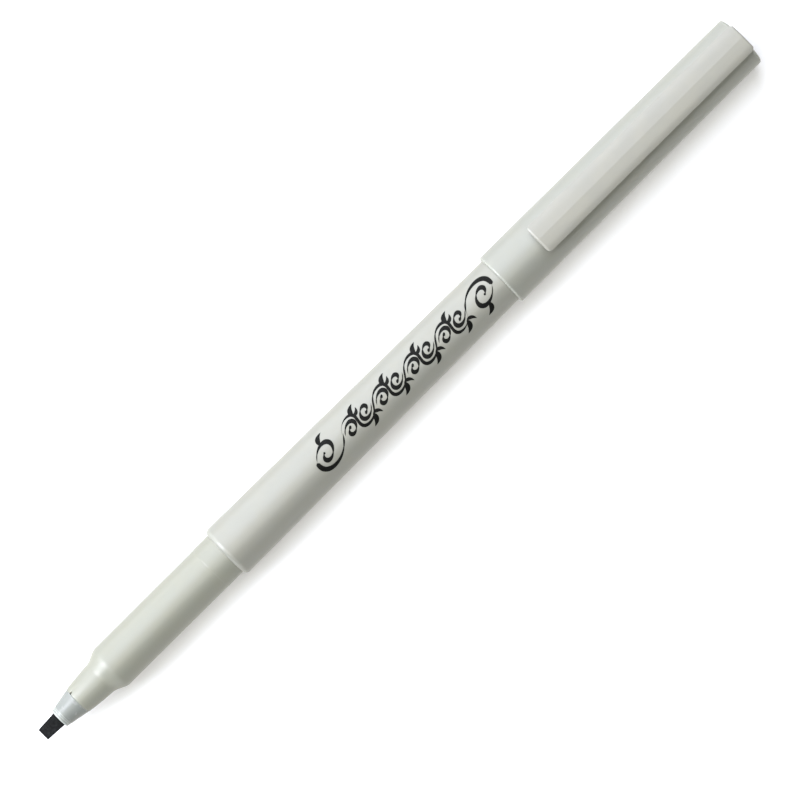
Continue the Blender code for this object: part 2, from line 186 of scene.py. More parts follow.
def blank_material(name):
    """A material with an empty tree and its output node."""
    finish = bpy.data.materials.new(name)
    finish.use_nodes = True
    finish.node_tree.nodes.clear()
    return finish, finish.node_tree


def toned(base, gain=1.0, lift=0.0):
    """A colour times a gain plus a lift, no lighter than white, as a socket's opaque colour."""
    return (*(min(1.0, channel * gain + lift) for channel in base), 1.0)


def millimetres(tree, stretch=(1.0, 1.0, 1.0)):
    """Object coordinates in millimetres, each axis divided by its stretch."""
    coordinates = add(tree, "ShaderNodeTexCoord")
    scale = [1 / (MM * factor) for factor in stretch]
    mapping = add(
        tree, "ShaderNodeMapping", {"Vector": coordinates.outputs["Object"], "Scale": scale}
    )
    return mapping.outputs["Vector"]


def rim_highlight_mix(tree, inner, base, gain):
    """Mix a lighter colour into a colour where the edge attribute is set, as a painted highlight on
    the rims. Returns the colour and the attribute."""
    edge = add(tree, "ShaderNodeAttribute", attribute_name="edge")
    mixed = add(
        tree,
        "ShaderNodeMix",
        {"Factor": edge.outputs["Fac"], MIX_A: inner, MIX_B: toned(base, gain)},
        data_type="RGBA",
    )
    return mixed.outputs[MIX_RESULT], edge.outputs["Fac"]


def moulded_pearl(name, base, roughness=0.33, cloud=0.015):
    """Injection-moulded polystyrene with pearl pigment: a satin skin, faint flow streaks along the
    pen, cloudy patches of pigment, handling scratches, and edges that are a little smoother and
    carry a painted highlight that makes them brighter. The streaks are 14 mm long and 1.3 mm wide,
    the patches about 3 mm across and the grains of pigment 0.2 mm. The scratches are 3 mm long and
    0.09 mm wide, drawn that coarse so that they show."""
    finish, tree = blank_material(name)
    flow = add(
        tree,
        "ShaderNodeTexNoise",
        {"Vector": millimetres(tree, (14.0, 1.3, 1.3)), "Scale": 1.0, "Detail": 4.0},
    )
    patches = add(
        tree, "ShaderNodeTexNoise", {"Vector": millimetres(tree), "Scale": 0.35, "Detail": 3.0}
    )
    pigment = add(
        tree, "ShaderNodeTexNoise", {"Vector": millimetres(tree), "Scale": 4.5, "Detail": 2.0}
    )
    scratches = add(
        tree,
        "ShaderNodeTexNoise",
        {"Vector": millimetres(tree, (3.0, 0.09, 0.09)), "Scale": 1.0, "Detail": 3.0},
    )
    deep = toned(base, 1 - 2 * cloud)
    streaked = add(
        tree,
        "ShaderNodeMix",
        {"Factor": flow.outputs["Fac"], MIX_A: deep, MIX_B: toned(base)},
        data_type="RGBA",
    )
    warm = (1.0, 0.99, 0.97)
    tinted = toned(channel * share for channel, share in zip(base, warm))
    patch_share = add(
        tree,
        "ShaderNodeMapRange",
        {"Value": patches.outputs["Fac"], "From Min": 0.42, "From Max": 0.66},
    )
    clouded = add(
        tree,
        "ShaderNodeMix",
        {
            "Factor": patch_share.outputs["Result"],
            MIX_A: streaked.outputs[MIX_RESULT],
            MIX_B: tinted,
        },
        data_type="RGBA",
    )
    # painted highlight: the rims marked by the edge attribute are mixed towards a colour 1.25 times
    # lighter
    coloured, edge = rim_highlight_mix(tree, clouded.outputs[MIX_RESULT], base, 1.25)
    rough_skin = add(
        tree,
        "ShaderNodeMapRange",
        {"Value": pigment.outputs["Fac"], "To Min": roughness - 0.05, "To Max": roughness + 0.06},
    )
    rough_edge = add(
        tree,
        "ShaderNodeMath",
        {0: edge, 1: -0.1, 2: rough_skin.outputs["Result"]},
        operation="MULTIPLY_ADD",
    )
    skin = add(
        tree,
        "ShaderNodeBump",
        {"Height": pigment.outputs["Fac"], "Strength": 0.12, "Distance": 0.01 * MM},
    )
    worn = add(
        tree,
        "ShaderNodeBump",
        {
            "Height": scratches.outputs["Fac"],
            "Normal": skin.outputs["Normal"],
            "Strength": 0.1,
            "Distance": 0.006 * MM,
        },
    )
    shader = add(
        tree,
        "ShaderNodeBsdfPrincipled",
        {
            "Base Color": coloured,
            "Roughness": rough_edge.outputs["Value"],
            "IOR": 1.57,
            "Specular IOR Level": 0.6,
            "Subsurface Weight": 0.1,
            "Subsurface Radius": (1.0, 0.9, 0.7),
            "Subsurface Scale": 0.6 * MM,
            "Normal": worn.outputs["Normal"],
        },
    )
    add(tree, "ShaderNodeOutputMaterial", {"Surface": shader.outputs["BSDF"]})
    return finish


def clear_polypropylene(name, base):
    """Moulded polypropylene, left a little clear: light spreads inside it, the skin is smooth and
    faint turning rings from the mould, 0.16 mm apart, run round it."""
    finish, tree = blank_material(name)
    rings = add(
        tree,
        "ShaderNodeTexNoise",
        {"Vector": millimetres(tree, (0.16, 20.0, 20.0)), "Scale": 1.0, "Detail": 2.0},
    )
    haze = add(
        tree, "ShaderNodeTexNoise", {"Vector": millimetres(tree), "Scale": 1.1, "Detail": 3.0}
    )
    hazed = add(
        tree,
        "ShaderNodeMix",
        {"Factor": haze.outputs["Fac"], MIX_A: toned(base), MIX_B: toned(base, 1.08)},
        data_type="RGBA",
    )
    # painted highlight: the rims marked by the edge attribute are mixed towards a colour 1.8 times
    # lighter
    coloured = rim_highlight_mix(tree, hazed.outputs[MIX_RESULT], base, 1.8)[0]
    skin = add(
        tree, "ShaderNodeMapRange", {"Value": haze.outputs["Fac"], "To Min": 0.2, "To Max": 0.32}
    )
    relief = add(
        tree,
        "ShaderNodeBump",
        {"Height": rings.outputs["Fac"], "Strength": 0.1, "Distance": 0.02 * MM},
    )
    shader = add(
        tree,
        "ShaderNodeBsdfPrincipled",
        {
            "Base Color": coloured,
            "Roughness": skin.outputs["Result"],
            "IOR": 1.49,
            "Subsurface Weight": 0.5,
            "Subsurface Radius": (0.9, 1.0, 1.1),
            "Subsurface Scale": 0.8 * MM,
            "Normal": relief.outputs["Normal"],
        },
    )
    add(tree, "ShaderNodeOutputMaterial", {"Surface": shader.outputs["BSDF"]})
    return finish


def inked_fibre(name, base):
    """Pressed acrylic fibres soaked with ink: dark, with grey fibres that run along the nib, about
    0.09 mm apart, drawn that coarse so that they show."""
    finish, tree = blank_material(name)
    fibres = add(
        tree,
        "ShaderNodeTexNoise",
        {"Vector": millimetres(tree, (0.9, 0.09, 0.09)), "Scale": 1.0, "Detail": 3.0},
    )
    clots = add(
        tree, "ShaderNodeTexNoise", {"Vector": millimetres(tree), "Scale": 2.2, "Detail": 3.0}
    )
    together = add(
        tree,
        "ShaderNodeMath",
        {0: fibres.outputs["Fac"], 1: clots.outputs["Fac"]},
        operation="MULTIPLY",
    )
    share = add(
        tree,
        "ShaderNodeMapRange",
        {"Value": together.outputs["Value"], "From Min": 0.17, "From Max": 0.4},
    )
    dry = toned(base, 3.0, 0.004)
    mixed = add(
        tree,
        "ShaderNodeMix",
        {"Factor": share.outputs["Result"], MIX_A: toned(base), MIX_B: dry},
        data_type="RGBA",
    )
    wet = add(
        tree, "ShaderNodeMapRange", {"Value": clots.outputs["Fac"], "To Min": 0.45, "To Max": 0.8}
    )
    relief = add(
        tree,
        "ShaderNodeBump",
        {"Height": fibres.outputs["Fac"], "Strength": 0.5, "Distance": 0.03 * MM},
    )
    shader = add(
        tree,
        "ShaderNodeBsdfPrincipled",
        {
            "Base Color": mixed.outputs[MIX_RESULT],
            "Roughness": wet.outputs["Result"],
            "IOR": 1.45,
            "Specular IOR Level": 0.09,
            "Normal": relief.outputs["Normal"],
        },
    )
    add(tree, "ShaderNodeOutputMaterial", {"Surface": shader.outputs["BSDF"]})
    return finish


def printing_ink(name, base):
    """Pad-printed ink: an even, satin black film with thin spots 0.2 mm across."""
    finish, tree = blank_material(name)
    spots = add(
        tree, "ShaderNodeTexNoise", {"Vector": millimetres(tree), "Scale": 5.0, "Detail": 2.0}
    )
    thin = toned(base, 2.0, 0.004)
    share = add(
        tree,
        "ShaderNodeMapRange",
        {"Value": spots.outputs["Fac"], "From Min": 0.5, "From Max": 0.75},
    )
    mixed = add(
        tree,
        "ShaderNodeMix",
        {"Factor": share.outputs["Result"], MIX_A: toned(base), MIX_B: thin},
        data_type="RGBA",
    )
    film = add(
        tree, "ShaderNodeMapRange", {"Value": spots.outputs["Fac"], "To Min": 0.38, "To Max": 0.5}
    )
    shader = add(
        tree,
        "ShaderNodeBsdfPrincipled",
        {
            "Base Color": mixed.outputs[MIX_RESULT],
            "Roughness": film.outputs["Result"],
            "IOR": 1.5,
            "Specular IOR Level": 0.08,
        },
    )
    add(tree, "ShaderNodeOutputMaterial", {"Surface": shader.outputs["BSDF"]})
    return finish


def soft_polyethylene(name, base, roughness=0.5):
    """Soft moulded polyethylene or film: matt and waxy, with a grain of 0.4 mm."""
    finish, tree = blank_material(name)
    grain = add(
        tree, "ShaderNodeTexNoise", {"Vector": millimetres(tree), "Scale": 2.5, "Detail": 4.0}
    )
    mixed = add(
        tree,
        "ShaderNodeMix",
        {"Factor": grain.outputs["Fac"], MIX_A: toned(base, 0.93), MIX_B: toned(base)},
        data_type="RGBA",
    )
    wax = add(
        tree,
        "ShaderNodeMapRange",
        {"Value": grain.outputs["Fac"], "To Min": roughness - 0.06, "To Max": roughness + 0.08},
    )
    relief = add(
        tree,
        "ShaderNodeBump",
        {"Height": grain.outputs["Fac"], "Strength": 0.15, "Distance": 0.01 * MM},
    )
    shader = add(
        tree,
        "ShaderNodeBsdfPrincipled",
        {
            "Base Color": mixed.outputs[MIX_RESULT],
            "Roughness": wax.outputs["Result"],
            "IOR": 1.51,
            "Normal": relief.outputs["Normal"],
        },
    )
    add(tree, "ShaderNodeOutputMaterial", {"Surface": shader.outputs["BSDF"]})
    return finish


def smooth(low, high, value):
    """Rises from 0 at low to 1 at high, as 3 s squared less 2 s cubed of the share s."""
    share = np.clip((value - low) / (high - low), 0.0, 1.0)
    return share * share * (3.0 - 2.0 * share)


def arc(x, radius, size, start, end, count=12):
    """Outline points on a circle about (x, radius), from start to end in degrees from +X."""
    angle = np.radians(np.linspace(start, end, count))
    return np.column_stack((x + size * np.cos(angle), radius + size * np.sin(angle)))


def run(x_start, x_end, radius_start, radius_end, count=2):
    """Outline points on a straight line."""
    return np.linspace((x_start, radius_start), (x_end, radius_end), count)


def revolve(*stretches, sides=SIDES):
    """Turn an outline about the pen's axis, as a grid: the point (x, r) at the angle a from the top
    is (x, r sin a, axis + r cos a), and nothing goes lower than the surface the pen lies on."""
    outline = np.concatenate(stretches)
    angle = np.linspace(0.0, 2 * np.pi, sides, endpoint=False)
    x = np.repeat(outline[:, :1], sides, axis=1)
    y = outline[:, 1:] * np.sin(angle)
    z = AXIS_Z + outline[:, 1:] * np.cos(angle)
    return np.stack((x, y, np.maximum(z, 0.0)), axis=-1)


def rim_highlight_share(grid, ring):
    """How much of an outside edge each row of a turned grid is, which sets how strong the painted
    rim highlight is there: the outward turn of the outline at that row, over the length that turns,
    as a share of one turn of 60 degrees in 0.3 mm."""
    outline = np.stack((grid[:, 0, 0], grid[:, 0, 2] - AXIS_Z), axis=1)
    before = np.roll(outline, 1, axis=0)
    after = np.roll(outline, -1, axis=0)
    if not ring:
        before[0], after[-1] = outline[0], outline[-1]
    first, second = outline - before, after - outline
    turn = first[:, 1] * second[:, 0] - first[:, 0] * second[:, 1]
    first_length = np.linalg.norm(first, axis=1)
    second_length = np.linalg.norm(second, axis=1)
    angle = np.arcsin(np.clip(turn / np.maximum(first_length * second_length, 1e-12), -1.0, 1.0))
    reach = np.maximum((first_length + second_length) / 2, 0.02 * MM)
    full_turn = np.radians(60)
    full_reach = 0.3 * MM
    return np.clip(angle / reach * full_reach / full_turn, 0.0, 1.0)


def skin(name, grid, finish, ring=True, edges=None):
    """Make an object from a grid of points whose columns close round the pen. Its rows close too
    when ring is set, and otherwise a point in the middle closes each end."""
    rows, columns = grid.shape[:2]
    points = grid.reshape(-1, 3)
    index = np.arange(rows * columns).reshape(rows, columns)
    beside = np.roll(index, -1, axis=1)
    if ring:
        quads = np.stack(
            (index, np.roll(index, -1, axis=0), np.roll(beside, -1, axis=0), beside), axis=-1
        )
        triangles = np.empty((0, 3), int)
    else:
        quads = np.stack((index[:-1], index[1:], beside[1:], beside[:-1]), axis=-1)
        ends = np.stack((grid[0].mean(axis=0), grid[-1].mean(axis=0)))
        first, last = len(points), len(points) + 1
        points = np.concatenate((points, ends))
        front = np.stack((np.full(columns, first), index[0], beside[0]), axis=-1)
        rear = np.stack((np.full(columns, last), beside[-1], index[-1]), axis=-1)
        triangles = np.concatenate((front, rear))
    mesh = bpy.data.meshes.new(name)
    mesh.from_pydata(points.tolist(), [], quads.reshape(-1, 4).tolist() + triangles.tolist())
    # the edge attribute holds each point's share of the painted rim highlight
    shares = np.zeros(len(points), np.float32)
    if edges is not None:
        shares[: rows * columns] = np.repeat(edges, columns)
    mesh.attributes.new("edge", "FLOAT", "POINT").data.foreach_set("value", shares)
    mesh.materials.append(finish)
    mesh.shade_smooth()
    mesh.set_sharp_from_angle(angle=SHARP_ANGLE)
    piece = bpy.data.objects.new(name, mesh)
    bpy.context.scene.collection.objects.link(piece)
    return piece


def turned(name, finish, *stretches, ring=True):
    """Turn an outline into a closed piece with its edges marked for the painted rim highlight."""
    grid = revolve(*stretches)
    return skin(name, grid, finish, ring, rim_highlight_share(grid, ring))


def fit(piece, body, slot, *nodes):
    """Let a piece ride on a body and stand for CAD nodes, which it hides. The slot is not used."""
    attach(piece, body)
    if nodes:
        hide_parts(*nodes)


def barrel_radius(x):
    """Outer radius of the tapered barrel at x."""
    return BARREL_RADIUS - BARREL_TAPER * (x - BARREL_FRONT)


def cap_radius(x):
    """Outer radius of the tapered cap at x."""
    return CAP_RADIUS - CAP_TAPER * (x - CAP_MOUTH)


def rounded_bar(half_width, half_thickness, count=48):
    """Rings of points across and up round a superellipse: each is the half size times the sine or
    the cosine of the angle, raised to the power of the roundness."""
    angle = np.linspace(0.0, 2 * np.pi, count, endpoint=False)
    across = np.sign(np.sin(angle)) * np.abs(np.sin(angle)) ** ROUNDNESS
    up = np.sign(np.cos(angle)) * np.abs(np.cos(angle)) ** ROUNDNESS
    return half_width[:, None] * across, half_thickness[:, None] * up


class MARKER_OT_nib(bpy.types.Operator):
    """Make the chisel nib"""

    bl_idname = "marker.nib"
    bl_label = "Nib"

    def execute(self, context):
        """A bar of rounded section whose thickness shrinks in a straight wedge to the writing
        edge, and whose width grows a little from the edge to the holder. The edge is worn round,
        as one less the root of one less the square of the share."""
        sizes = context.scene.marker_sizes
        rear = NOSE_FRONT + 4 * MM
        wedge_length = 2.1 * MM
        edge_thickness = 0.2 * MM  # half of the thickness, as in the sizes
        worn_length = 0.06 * MM
        worn_depth = 0.05 * MM
        x = np.concatenate(
            (np.linspace(TIP, TIP + worn_length, 4), np.linspace(TIP + 2 * worn_length, rear, 60))
        )
        widening = np.clip((x - TIP) / (HOLDER_FRONT - TIP), 0.0, 1.0)
        width = sizes.nib_edge + (NIB_HALF_WIDTH - sizes.nib_edge) * widening
        wedge = np.clip((x - TIP) / wedge_length, 0.0, 1.0)
        thickness = edge_thickness + (sizes.nib_thickness - edge_thickness) * wedge
        into_edge = 1 - np.clip((x - TIP) / worn_length, 0.0, 1.0)
        worn = worn_depth * (1 - np.sqrt(1 - into_edge**2))
        across, up = rounded_bar(width - worn, thickness - worn)
        grid = np.stack((np.broadcast_to(x[:, None], across.shape), across, AXIS_Z + up), axis=-1)
        finish = inked_fibre("inked_acrylic_fibre", context.scene.marker_colours.nib)
        nib = skin("chisel_nib", grid, finish, ring=False)
        fit(nib, "pen", "nib_fibre", "nib")
        return {"FINISHED"}


class MARKER_OT_holder(bpy.types.Operator):
    """Make the conical nib holder"""

    bl_idname = "marker.holder"
    bl_label = "Nib holder"

    def execute(self, context):
        """A turned cone with a rounded lip, two fine rings behind it, each cut as a bell curve, and
        a stem in the nose. Its bore is blended from the round outline into the nib's bar shape."""
        sizes = context.scene.marker_sizes
        seam = NOSE_FRONT - 0.03 * MM
        lip = 0.2 * MM
        rear_edge = 0.08 * MM
        cone_x = np.linspace(HOLDER_FRONT + lip, seam - rear_edge, 60)
        share = (cone_x - cone_x[0]) / (cone_x[-1] - cone_x[0])
        cone_r = sizes.holder_front + (HOLDER_RADIUS - sizes.holder_front) * share
        ring_depth = 0.035 * MM
        ring_width = 0.07 * MM
        for ring in (0.35 * MM, 0.72 * MM):
            cone_r -= ring_depth * np.exp(-(((cone_x - HOLDER_FRONT - ring) / ring_width) ** 2))
        stem = 1.85 * MM
        stem_rear = NOSE_FRONT + 6 * MM
        grid = revolve(
            arc(HOLDER_FRONT + lip, sizes.holder_front - lip, lip, 180, 90),
            np.column_stack((cone_x, cone_r)),
            arc(seam - rear_edge, HOLDER_RADIUS - rear_edge, rear_edge, 90, 0, 5),
            run(seam, stem_rear, stem, stem),
        )
        gap = 0.02 * MM
        bore_x = np.linspace(stem_rear, HOLDER_FRONT + gap, 20)
        width = np.full_like(bore_x, NIB_HALF_WIDTH + gap)
        thickness = np.full_like(bore_x, sizes.nib_thickness + gap)
        across, up = rounded_bar(width, thickness, SIDES)
        bore = np.stack(
            (np.broadcast_to(bore_x[:, None], across.shape), across, AXIS_Z + up), axis=-1
        )
        # painted rim highlight on the outside rims, none in the bore
        edges = np.concatenate((rim_highlight_share(grid, True), np.zeros(len(bore))))
        finish = clear_polypropylene("clear_polypropylene", context.scene.marker_colours.holder)
        holder = skin("nib_cone", np.concatenate((grid, bore)), finish, True, edges)
        fit(holder, "pen", "holder_plastic", "nib_holder")
        return {"FINISHED"}


class MARKER_OT_section(bpy.types.Operator):
    """Make the front section"""

    bl_idname = "marker.section"
    bl_label = "Front section"

    def execute(self, context):
        """A turned outline: a nose that bulges as a half sine, an S-shaped shoulder, a nearly
        straight grip and, behind a very low step, a collar that runs into the barrel. The rim has
        a small vent notch, where the front points move back by a bell curve, with the fourth power
        of the distance round the rim, that fades behind the rim."""
        sizes = context.scene.marker_sizes
        rim = 0.12 * MM
        bulge = 0.05 * MM
        step = 0.04 * MM
        half_step_length = 0.08 * MM
        grip_slope = 0.02 * MM  # how much the grip grows from the shoulder to the step
        tail_radius = 3.75 * MM
        chamber_radius = 3.25 * MM
        nose_bore = 2.05 * MM
        nose_end = NOSE_FRONT + sizes.nose_length
        shoulder_end = nose_end + sizes.shoulder_length
        collar = NOSE_FRONT + sizes.collar_ring
        inside = BARREL_FRONT + 3 * MM
        chamber_front = NOSE_FRONT + 14 * MM
        nose_bore_rear = NOSE_FRONT + 12.2 * MM
        nose_x = np.linspace(NOSE_FRONT + rim, nose_end, 40)
        share = (nose_x - NOSE_FRONT) / sizes.nose_length
        nose_r = sizes.nose_front + (sizes.nose_rear - sizes.nose_front) * share
        nose_r += bulge * np.sin(np.pi * share)
        shoulder_x = np.linspace(nose_end, shoulder_end, 50)[1:]
        grip_front = GRIP_RADIUS - step - grip_slope
        rise = smooth(nose_end, shoulder_end, shoulder_x)
        shoulder_r = sizes.nose_rear + (grip_front - sizes.nose_rear) * rise
        grip_x = np.concatenate(
            (
                np.linspace(shoulder_end, collar - 0.5 * MM, 30)[1:],
                np.linspace(collar - 0.4 * MM, collar + 0.4 * MM, 25),
                np.linspace(collar + 0.5 * MM, inside, 10),
            )
        )
        growth = np.clip((grip_x - shoulder_end) / (collar - shoulder_end), 0.0, 1.0)
        grip_r = grip_front + grip_slope * growth
        grip_r += step * smooth(collar - half_step_length, collar + half_step_length, grip_x)
        grid = revolve(
            arc(NOSE_FRONT + rim, sizes.nose_front - rim, rim, 180, 90, 8),
            np.column_stack((nose_x, nose_r))[1:],
            np.column_stack((shoulder_x, shoulder_r)),
            np.column_stack((grip_x, grip_r)),
            run(inside, SECTION_REAR, tail_radius, tail_radius),
            run(SECTION_REAR, chamber_front, chamber_radius, chamber_radius),
            run(nose_bore_rear, NOSE_FRONT, nose_bore, nose_bore, 30),
        )
        # painted rim highlight only on the nose's front rim
        edges = np.where(grid[:, 0, 0] < NOSE_FRONT + 2 * rim, rim_highlight_share(grid, True), 0.0)
        notch_angle = np.radians(38)
        notch_half_width = 0.17 * MM
        notch_depth = 0.5 * MM
        notch_fade = 1.0 * MM
        angle = np.linspace(0.0, 2 * np.pi, SIDES, endpoint=False)
        round_rim = (angle - notch_angle) * sizes.nose_front / notch_half_width
        fade = np.clip(1 - (grid[:, :, 0] - NOSE_FRONT) / notch_fade, 0.0, 1.0)
        grid[:, :, 0] += notch_depth * np.exp(-(round_rim**4)) * fade
        finish = moulded_pearl("grip_polystyrene", context.scene.marker_colours.grip)
        section = skin("grip_section", grid, finish, True, edges)
        fit(section, "pen", "grip_plastic", "front_section")
        return {"FINISHED"}


class MARKER_OT_barrel(bpy.types.Operator):
    """Make the barrel and the plug in its rear end"""

    bl_idname = "marker.barrel"
    bl_label = "Barrel"

    def execute(self, context):
        """The barrel is a straight taper behind a quarter-round lip, and the plug a flanged disc
        with a stem."""
        sizes = context.scene.marker_sizes
        finish = moulded_pearl("barrel_polystyrene", context.scene.marker_colours.barrel)
        lip = sizes.barrel_lip
        rear_edge = 0.15 * MM
        taper_front = BARREL_FRONT + lip + 0.1 * MM
        taper_rear = TUBE_REAR - rear_edge
        bore_step = SECTION_REAR + 0.6 * MM
        front_bore = GRIP_RADIUS + 0.01 * MM
        middle_bore = 3.45 * MM
        rear_bore = 3.35 * MM
        barrel = turned(
            "barrel_tube",
            finish,
            arc(BARREL_FRONT + lip, barrel_radius(BARREL_FRONT + lip) - lip, lip, 180, 90, 20),
            run(taper_front, taper_rear, barrel_radius(taper_front), barrel_radius(taper_rear), 90),
            arc(taper_rear, barrel_radius(TUBE_REAR) - rear_edge, rear_edge, 90, 0, 5),
            run(TUBE_REAR, bore_step + 0.6 * MM, rear_bore, middle_bore),
            run(bore_step, BARREL_FRONT + 0.1 * MM, front_bore, front_bore, 6),
        )
        fit(barrel, "pen", "barrel_plastic", "barrel")
        stem = 3.05 * MM
        stem_front = 2.7 * MM
        flange = TUBE_REAR + 0.05 * MM
        front_edge = 0.1 * MM
        edge = 0.35 * MM
        plug = turned(
            "rear_plug",
            finish,
            run(PLUG_FRONT, PLUG_FRONT, 1.0 * MM, stem_front),
            run(PLUG_FRONT + 0.5 * MM, flange, stem, stem),
            arc(flange + front_edge, PLUG_RADIUS - front_edge, front_edge, 180, 90, 5),
            arc(PLUG_REAR - edge, PLUG_RADIUS - edge, edge, 90, 0, 10),
            run(PLUG_REAR, PLUG_REAR, PLUG_RADIUS - edge - 0.4 * MM, 0.3 * MM, 8),
            ring=False,
        )
        fit(plug, "pen", "barrel_plastic", "barrel_end_plug")
        return {"FINISHED"}


def broad_stroke(x, y, width, thin=0.22, front=0.1, rear=0.1):
    """A stroke of a broad pen held at 40 degrees along a path. Its half thickness is half of the
    pen's width times the sine of the angle between path and pen, plus a thin share of it times the
    cosine, and both ends taper smoothly over their shares of the path."""
    heading = np.arctan2(np.gradient(y), np.gradient(x)) - np.radians(40.0)
    half = width * (np.abs(np.sin(heading)) + thin * np.abs(np.cos(heading))) / 2
    share = np.linspace(0.0, 1.0, len(x))
    blunt = -0.01  # the taper starts a little before the end, which so keeps some thickness
    return x, y, half * np.minimum(smooth(blunt, front, share), smooth(blunt, rear, 1 - share))


def spiral(middle_x, middle_y, radius, start, turn, width, side=1.0):
    """A stroke along a spiral: the radius shrinks to a fifth, by the share to the power 0.85, while
    the angle goes from start through turn degrees. The whole leans forward with its height, and
    side -1 turns it round."""
    share = np.linspace(0.0, 1.0, 200)
    reach = radius * (1.0 - 0.8 * share**0.85)
    angle = np.radians(start + turn * share)
    y = side * reach * np.sin(angle)
    x = side * reach * np.cos(angle) + LEAN * y
    return broad_stroke(middle_x + x, middle_y + y, width, front=0.08, rear=0.05)


def sweep(points, width):
    """A stroke along a cubic Bezier curve through four control points."""
    share = np.linspace(0.0, 1.0, 200)[:, None]
    back = 1 - share
    p, q, r, t = np.array(points)
    curve = back**3 * p + 3 * back**2 * share * q + 3 * back * share**2 * r + share**3 * t
    return broad_stroke(curve[:, 0], curve[:, 1], width, front=0.12, rear=0.03)


def leaf(x, y, reach_x, reach_y, bow, width):
    """A leaf from x and y: its spine bows sideways as a half sine, and its width is the sine of
    half a turn times the share of its length to the power 0.75, to the power 0.9."""
    share = np.linspace(0.0, 1.0, 40)
    bulge = bow * np.sin(np.pi * share)
    spine_x = x + reach_x * share - reach_y * bulge
    spine_y = y + reach_y * share + reach_x * bulge
    return spine_x, spine_y, width / 2 * np.abs(np.sin(np.pi * share**0.75)) ** 0.9


def ribbon(x, y, half):
    """Grid of a thin printed ribbon on the barrel. Each path point gives a flat ring of six points,
    the half thickness to either side. It is wrapped so that the distance up becomes an angle, the
    distance over the barrel's radius there."""
    heading = np.arctan2(np.gradient(y), np.gradient(x))
    sideways = np.array([-1.0, -1.0, -0.55, 0.55, 1.0, 1.0]) * half[:, None]
    lift = np.array([-0.01, 0.008, 0.014, 0.014, 0.008, -0.01]) * MM
    along = x[:, None] - sideways * np.sin(heading)[:, None]
    up = y[:, None] + sideways * np.cos(heading)[:, None]
    radius = barrel_radius(along) + lift
    angle = up / radius
    return np.stack((along, radius * np.sin(angle), AXIS_Z + radius * np.cos(angle)), axis=-1)


def ornament_strokes(pen_width):
    """Strokes of a floral scroll in millimetres along and round the barrel, as path and half
    thickness: a wavy stem that leans forward, a spiral and two leaves for each half wave, and a
    long curl with a leaf at each end, where one end is the other turned round half a turn."""
    waves = 4
    wave_length = 7.0
    height = 1.65
    end_length = 6.3
    spiral_radius = 1.45
    root_height = 0.9
    leaf_height = 1.9
    curl_radius = 2.15
    middle = end_length + wave_length * waves / 2
    turns = np.linspace(0.0, waves, 640)
    stem_y = height * np.sin(2 * np.pi * turns)
    stem_x = end_length + wave_length * turns + LEAN * stem_y - 0.35 * np.sin(4 * np.pi * turns)
    strokes = [broad_stroke(stem_x, stem_y, 0.7 * pen_width, 0.3)]
    for i in range(2 * waves):
        side = 1.0 if i % 2 == 0 else -1.0
        eye = end_length + wave_length * (i / 2 + 0.25) + 0.1
        strokes.append(spiral(eye, -0.35 * side, spiral_radius, 185, -470, 0.9 * pen_width, side))
        root_y = root_height * side
        root = end_length + wave_length * (i / 2 + 0.42) + LEAN * root_y
        leaf_y = leaf_height * side
        strokes.append(leaf(root, root_y, LEAN * leaf_y + 0.5 * side, leaf_y, 0.18, 0.85))
        strokes.append(leaf(root, root_y, 1.35, 1.0 * side, -0.2 * side, 0.6))
    tail = ((-13.6, 0.3), (-15.8, -3.6), (-20.6, -3.4), (-19.9, -0.3))  # from the middle
    for side in (1.0, -1.0):
        strokes.append(sweep([(middle + side * x, side * y) for x, y in tail], 1.05 * pen_width))
        eye = middle - 17.7 * side
        strokes.append(spiral(eye, -0.3 * side, curl_radius, 180, -420, pen_width, side))
        strokes.append(leaf(eye + 0.1 * side, 1.4 * side, 1.5 * side, 1.7 * side, 0.2, 0.85))
    return [(x * MM, y * MM, half * MM) for x, y, half in strokes]


class MARKER_OT_ornament(bpy.types.Operator):
    """Print the scroll ornament on the barrel"""

    bl_idname = "marker.ornament"
    bl_label = "Printed ornament"

    def execute(self, context):
        """Every stroke of the scroll is a thin closed ribbon, and all of them are one piece."""
        sizes = context.scene.marker_sizes
        start = TIP + sizes.ornament_start
        finish = printing_ink("black_printing_ink", context.scene.marker_colours.ink)
        strokes = ornament_strokes(sizes.pen_width / MM)
        parts = [
            skin(f"stroke_{i}", ribbon(start + x, y, half), finish, False)
            for i, (x, y, half) in enumerate(strokes)
        ]
        work = bmesh.new()
        for part in parts:
            work.from_mesh(part.data)
            bpy.data.objects.remove(part)
        bmesh.ops.recalc_face_normals(work, faces=work.faces)
        mesh = bpy.data.meshes.new("printed_ornament")
        work.to_mesh(mesh)
        work.free()
        mesh.materials.append(finish)
        ornament = bpy.data.objects.new("printed_ornament", mesh)
        context.scene.collection.objects.link(ornament)
        fit(ornament, "pen", "barrel_plastic")
        return {"FINISHED"}


